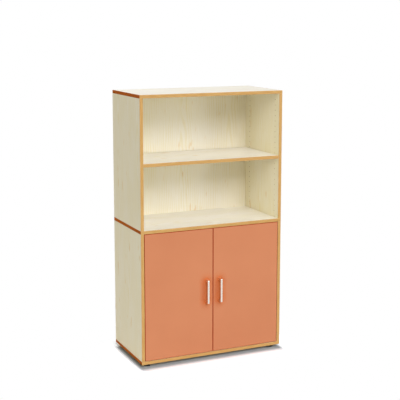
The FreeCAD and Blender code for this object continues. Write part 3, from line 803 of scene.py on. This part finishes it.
studio = {
    "floorReach": 12.0,
    "floorSquares": 4,
    "floorColour": (0.74, 0.7, 0.61, 1),
    "floorSeen": (1.46, 1.54, 1.6),      # the floor as the camera sees it, which ends in the white behind
    "underShade": 0.27,      # painted shadow: how much of that is left under the bookcase, where little light gets in
    "shadeReach": (0.032, 0.068),      # metres over which the painted shadow fades, beside the bookcase and before it
    "shadeBack": 0.06,      # metres by which the painted shadow ends short of the bookcase's back
    "paleFrom": (0.07, 0.15),      # metres away at which the floor starts to turn plain white, and is
    "skyColour": (1.0, 0.95, 0.85, 1),
    "skyStrength": 0.11,
}
studioLamps = {
    # strength, colour, width of the disc, degrees to the right of straight in front, degrees above level
    "key": (2.1, (1.0, 1.0, 1.12), 34.0, -4.0, 35.0),
    "fill": (0.44, (1.0, 1.01, 1.02), 14.0, 40.0, 50.0),
    "low": (0.44, (1.0, 0.99, 0.85), 20.0, 35.0, 4.0),
    "side": (0.62, (1.0, 0.9, 0.45), 30.0, -70.0, 15.0),
    "back": (0.9, (1.0, 1.0, 1.0), 40.0, 180.0, 40.0),
}
plainWhite = {"Color": (1, 1, 1, 1), "Strength": 1.0}


def backdropShare(tree):
    rays = addNode(tree, "ShaderNodeLightPath").outputs
    seen = addMath(tree, "MAXIMUM", rays["Is Camera Ray"], rays["Is Glossy Ray"])
    return addMath(tree, "MAXIMUM", seen, rays["Is Transmission Ray"])


def addPaintedFloorShadow(tree, settings):
    # painted shadow by distance from the bookcase's footprint: dim under it and at its foot, plain white
    # further away
    low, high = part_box("bottom_panel")
    middle = ((low[0] + high[0]) / 2, (low[1] + high[1] - settings["shadeBack"]) / 2)
    half = ((high[0] - low[0]) / 2, (high[1] - low[1] - settings["shadeBack"]) / 2)
    parts = separate(tree, objectPlace(tree))
    nearSquares, farSquares = [], []
    for spot in (0, 1):
        away = addMath(tree, "ABSOLUTE", addMath(tree, "SUBTRACT", parts["XY"[spot]], middle[spot]))
        outside = addMath(tree, "MAXIMUM", addMath(tree, "SUBTRACT", away, half[spot]), 0.0)
        scaled = addMath(tree, "DIVIDE", outside, settings["shadeReach"][spot])
        nearSquares.append(addMath(tree, "MULTIPLY", scaled, scaled))
        farSquares.append(addMath(tree, "MULTIPLY", outside, outside))
    near = addMath(tree, "SQRT", addMath(tree, "ADD", *nearSquares))
    far = addMath(tree, "SQRT", addMath(tree, "ADD", *farSquares))
    return (remap(tree, near, 0.0, 1.0, settings["underShade"], 1.0, smooth=True),
            remap(tree, far, *settings["paleFrom"], smooth=True))


def makeFloor(settings):
    mesh = bpy.data.meshes.new("studioFloor")
    squares = settings["floorSquares"]
    build = bmesh.new()
    bmesh.ops.create_grid(build, x_segments=squares, y_segments=squares, size=settings["floorReach"])
    build.to_mesh(mesh)
    build.free()
    floor = bpy.data.objects.new("studioFloor", mesh)
    bpy.context.scene.collection.objects.link(floor)
    material, tree, shader = newMaterial("studioFloor")
    tree.nodes.remove(shader)
    paintedShadow, pale = addPaintedFloorShadow(tree, settings)
    # the seen floor, darkened by the painted shadow near the bookcase
    seen = addVector(tree, "SCALE", settings["floorSeen"], paintedShadow)
    share = backdropShare(tree)
    colour = addMix(tree, share, settings["floorColour"], seen)
    paint = addNode(tree, "ShaderNodeBsdfDiffuse", {"Color": colour})
    white = addNode(tree, "ShaderNodeEmission", plainWhite)
    mixed = addNode(tree, "ShaderNodeMixShader", {
        0: addMath(tree, "MULTIPLY", share, pale), 1: paint.outputs[0], 2: white.outputs[0],
    })
    tree.links.new(mixed.outputs[0], tree.nodes["Material Output"].inputs["Surface"])
    mesh.materials.append(material)


def makeWorld(settings):
    world = bpy.data.worlds.new("studioWorld")
    bpy.context.scene.world = world
    world.use_nodes = True
    tree = world.node_tree
    sky = tree.nodes["Background"]
    sky.inputs["Color"].default_value = settings["skyColour"]
    sky.inputs["Strength"].default_value = settings["skyStrength"]
    white = addNode(tree, "ShaderNodeBackground", plainWhite)
    mixed = addNode(tree, "ShaderNodeMixShader", {
        0: backdropShare(tree), 1: sky.outputs[0], 2: white.outputs[0],
    })
    tree.links.new(mixed.outputs[0], tree.nodes["World Output"].inputs["Surface"])


def makeSun(name, strength, colour, angle, yaw, height):
    data = bpy.data.lights.new(name + "Lamp", "SUN")
    data.energy = strength
    data.color = colour
    data.angle = math.radians(angle)
    sun = bpy.data.objects.new(name + "Lamp", data)
    bpy.context.scene.collection.objects.link(sun)
    sun.rotation_euler = Euler((math.radians(90 - height), 0, math.radians(yaw)))


makeFloor(studio)
makeWorld(studio)
for name, settings in studioLamps.items():
    makeSun(name, *settings)
print("studio ready")
